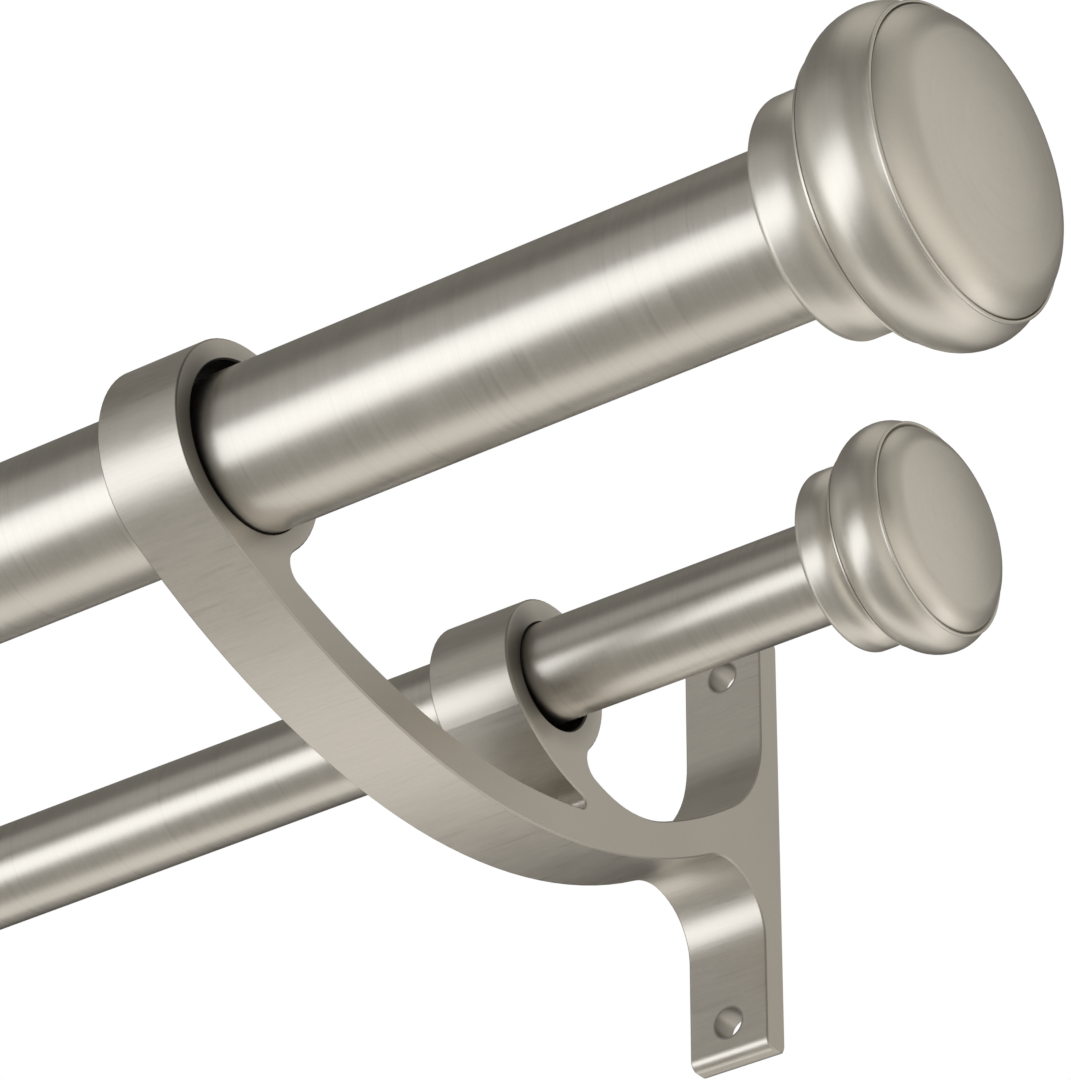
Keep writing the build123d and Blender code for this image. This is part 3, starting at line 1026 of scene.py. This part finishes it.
class CURTAINPOLE_OT_grub_screws(bpy.types.Operator):
    """Makes the four threaded socket screws that hold the poles in their rings"""

    bl_idname = "curtain_pole.grub_screws"
    bl_label = "Thread the grub screws"

    def execute(self, context):
        settings = context.scene.curtain_pole_grub_screws
        centres, outwards, lengths, radii = zip(*grub_screw_seats())
        points = bpy.data.meshes.new("grub_screw_seats")
        points.from_pydata(centres, [], [])
        directions = points.attributes.new("outward", "FLOAT_VECTOR", "POINT")
        for item, outward in zip(directions.data, outwards):
            item.vector = outward
        tree, sockets = grub_screw_tree()
        values = {
            "Radius": radii[0],
            "Length": lengths[0],
            "Pitch": settings.thread_pitch,
            "Depth": settings.thread_depth,
            "Point": settings.point,
            "Across": settings.socket_across,
            "Socket Depth": settings.socket_depth,
            "Facets": settings.facets,
            "Steps": settings.steps,
            "Seed": settings.seed,
            "Material": bpy.data.materials["zinc_plate"],
        }
        screws = made_by_nodes(
            context, "threaded_grub_screws", points, tree, sockets, values, settings.sharp_angle
        )
        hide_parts("grub_screws")
        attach(screws, "wall_set")
        return {"FINISHED"}


def aim(obj, place, direction):
    """Puts a light or camera somewhere and turns it in a direction, level with the floor."""
    obj.location = place
    obj.rotation_mode = "QUATERNION"
    obj.rotation_quaternion = direction.to_track_quat("-Z", "Y")


def lay_floor(context, settings):
    """A wide plain pale floor."""
    half = FLOOR_HALF_SIZE
    corners = [(-half, -half), (half, -half), (half, half), (-half, half)]
    mesh = bpy.data.meshes.new("floor")
    mesh.from_pydata([(x, y, settings.floor_level) for x, y in corners], [], [(0, 1, 2, 3)])
    floor = bpy.data.objects.new("floor", mesh)
    context.scene.collection.objects.link(floor)
    paint = Finish("floor_paint")
    cloud = paint.grain(paint.place, FLOOR_CLOUDS)
    paint.set(
        Base_Color=paint.mix(cloud, *FLOOR_TONES),
        Roughness=0.8,
        Emission_Color=FLOOR_GLOW_COLOUR,
        Emission_Strength=settings.floor_glow,
    )
    mesh.materials.append(paint.material)
    floor.visible_glossy = False


def soft_box(context, name, power, size, place, colour):
    """A rectangular soft light whose long side lies along X."""
    light = bpy.data.lights.new(name, "AREA")
    light.shape = "RECTANGLE"
    light.size, light.size_y = size
    light.energy = power
    light.color = colour
    obj = bpy.data.objects.new(name, light)
    context.scene.collection.objects.link(obj)
    aim(obj, place, Vector(LIGHTS_AIM_AT) - Vector(place))
    obj.visible_camera = False


def room_light(context, strength):
    """A warm room, lighter towards the floor and both ends. The camera sees it white."""
    world = context.scene.world or bpy.data.worlds.new("studio")
    context.scene.world = world
    world.use_nodes = True
    graph = Graph(world.node_tree)
    graph.nodes.clear()
    x, y, z = graph.split(graph.node("ShaderNodeTexCoord", {}, {}, "Generated"))
    floor = z.fall(*FLOOR_END)
    right = x.rise(*RIGHT_START) * (floor * RIGHT_FLOOR_LEVEL + RIGHT_LEVEL)
    left = (-x).rise(*LEFT_START) * LEFT_LEVEL
    top = z.rise(*TOP_START) * TOP_LEVEL
    dim_side = y.rise(*DIM_TO_THE_WALL) * (-x).rise(*DIM_TO_THE_LEFT)
    dim = dim_side * z.rise(*DIM_FROM) * z.fall(*DIM_UP_TO)
    level = (floor * FLOOR_LEVEL + right + left + top + ROOM_LEVEL) * (1.0 - dim * DIM_DROP)
    room = graph.node(
        "ShaderNodeBackground", {}, {"Color": ROOM_COLOUR, "Strength": level * strength}
    )
    backdrop = graph.node("ShaderNodeBackground", {}, {"Color": (1, 1, 1, 1), "Strength": 1.0})
    by_camera = graph.node("ShaderNodeLightPath", {}, {}, "Is Camera Ray")
    seen = graph.node("ShaderNodeMixShader", {}, {0: by_camera, 1: room, 2: backdrop})
    graph.links.new(seen.socket, graph.nodes.new("ShaderNodeOutputWorld").inputs["Surface"])


def set_camera(context):
    """The camera at the photograph's place and angle."""
    camera = bpy.data.cameras.new("camera")
    camera.sensor_width = SENSOR_WIDTH
    camera.lens = LENS
    camera.clip_start, camera.clip_end = CLIP
    eye = bpy.data.objects.new("camera", camera)
    context.scene.collection.objects.link(eye)
    turn, rise = math.radians(CAMERA_TURN), math.radians(CAMERA_RISE)
    level = math.cos(rise)
    back = Vector((math.sin(turn) * level, -math.cos(turn) * level, math.sin(rise)))
    aim(eye, CAMERA_PLACE, -back)
    context.scene.camera = eye
    context.scene.view_settings.view_transform = "Standard"


class CURTAINPOLE_OT_studio(bpy.types.Operator):
    """Makes the floor, the soft lights, the room's light and the camera"""

    bl_idname = "curtain_pole.studio"
    bl_label = "Set up the studio"

    def execute(self, context):
        settings = context.scene.curtain_pole_studio
        lay_floor(context, settings)
        for name, power, size, place, colour in SOFT_BOXES:
            soft_box(context, name, getattr(settings, power), size, place, colour)
        room_light(context, settings.room)
        set_camera(context)
        return {"FINISHED"}


class CURTAINPOLE_PT_sidebar(bpy.types.Panel):
    """Lists the settings and the steps that make the curtain pole"""

    bl_label = "Curtain pole"
    bl_idname = "CURTAINPOLE_PT_sidebar"
    bl_space_type = "VIEW_3D"
    bl_region_type = "UI"
    bl_category = "Curtain pole"

    def draw(self, context):
        for group in SETTINGS:
            box = self.layout.box()
            settings = getattr(context.scene, group)
            for name in settings.__annotations__:
                box.prop(settings, name)
        for operator in OPERATORS:
            self.layout.operator(operator.bl_idname)


SETTINGS = {
    "curtain_pole_nickel": NickelSettings,
    "curtain_pole_finials": FinialSettings,
    "curtain_pole_fittings": FittingSettings,
    "curtain_pole_grub_screws": GrubScrewSettings,
    "curtain_pole_studio": StudioSettings,
}
OPERATORS = (
    CURTAINPOLE_OT_brackets,
    CURTAINPOLE_OT_poles,
    CURTAINPOLE_OT_finials,
    CURTAINPOLE_OT_fittings,
    CURTAINPOLE_OT_grub_screws,
    CURTAINPOLE_OT_studio,
)


def register():
    for name, group in SETTINGS.items():
        bpy.utils.register_class(group)
        setattr(bpy.types.Scene, name, PointerProperty(type=group))
    for operator in OPERATORS:
        bpy.utils.register_class(operator)
    bpy.utils.register_class(CURTAINPOLE_PT_sidebar)


def unregister():
    bpy.utils.unregister_class(CURTAINPOLE_PT_sidebar)
    for operator in reversed(OPERATORS):
        bpy.utils.unregister_class(operator)
    for name, group in SETTINGS.items():
        delattr(bpy.types.Scene, name)
        bpy.utils.unregister_class(group)


def main():
    register()
    bpy.ops.curtain_pole.brackets()
    bpy.ops.curtain_pole.poles()
    bpy.ops.curtain_pole.finials()
    bpy.ops.curtain_pole.fittings()
    bpy.ops.curtain_pole.grub_screws()
    bpy.ops.curtain_pole.studio()


if __name__ == "__main__":
    main()
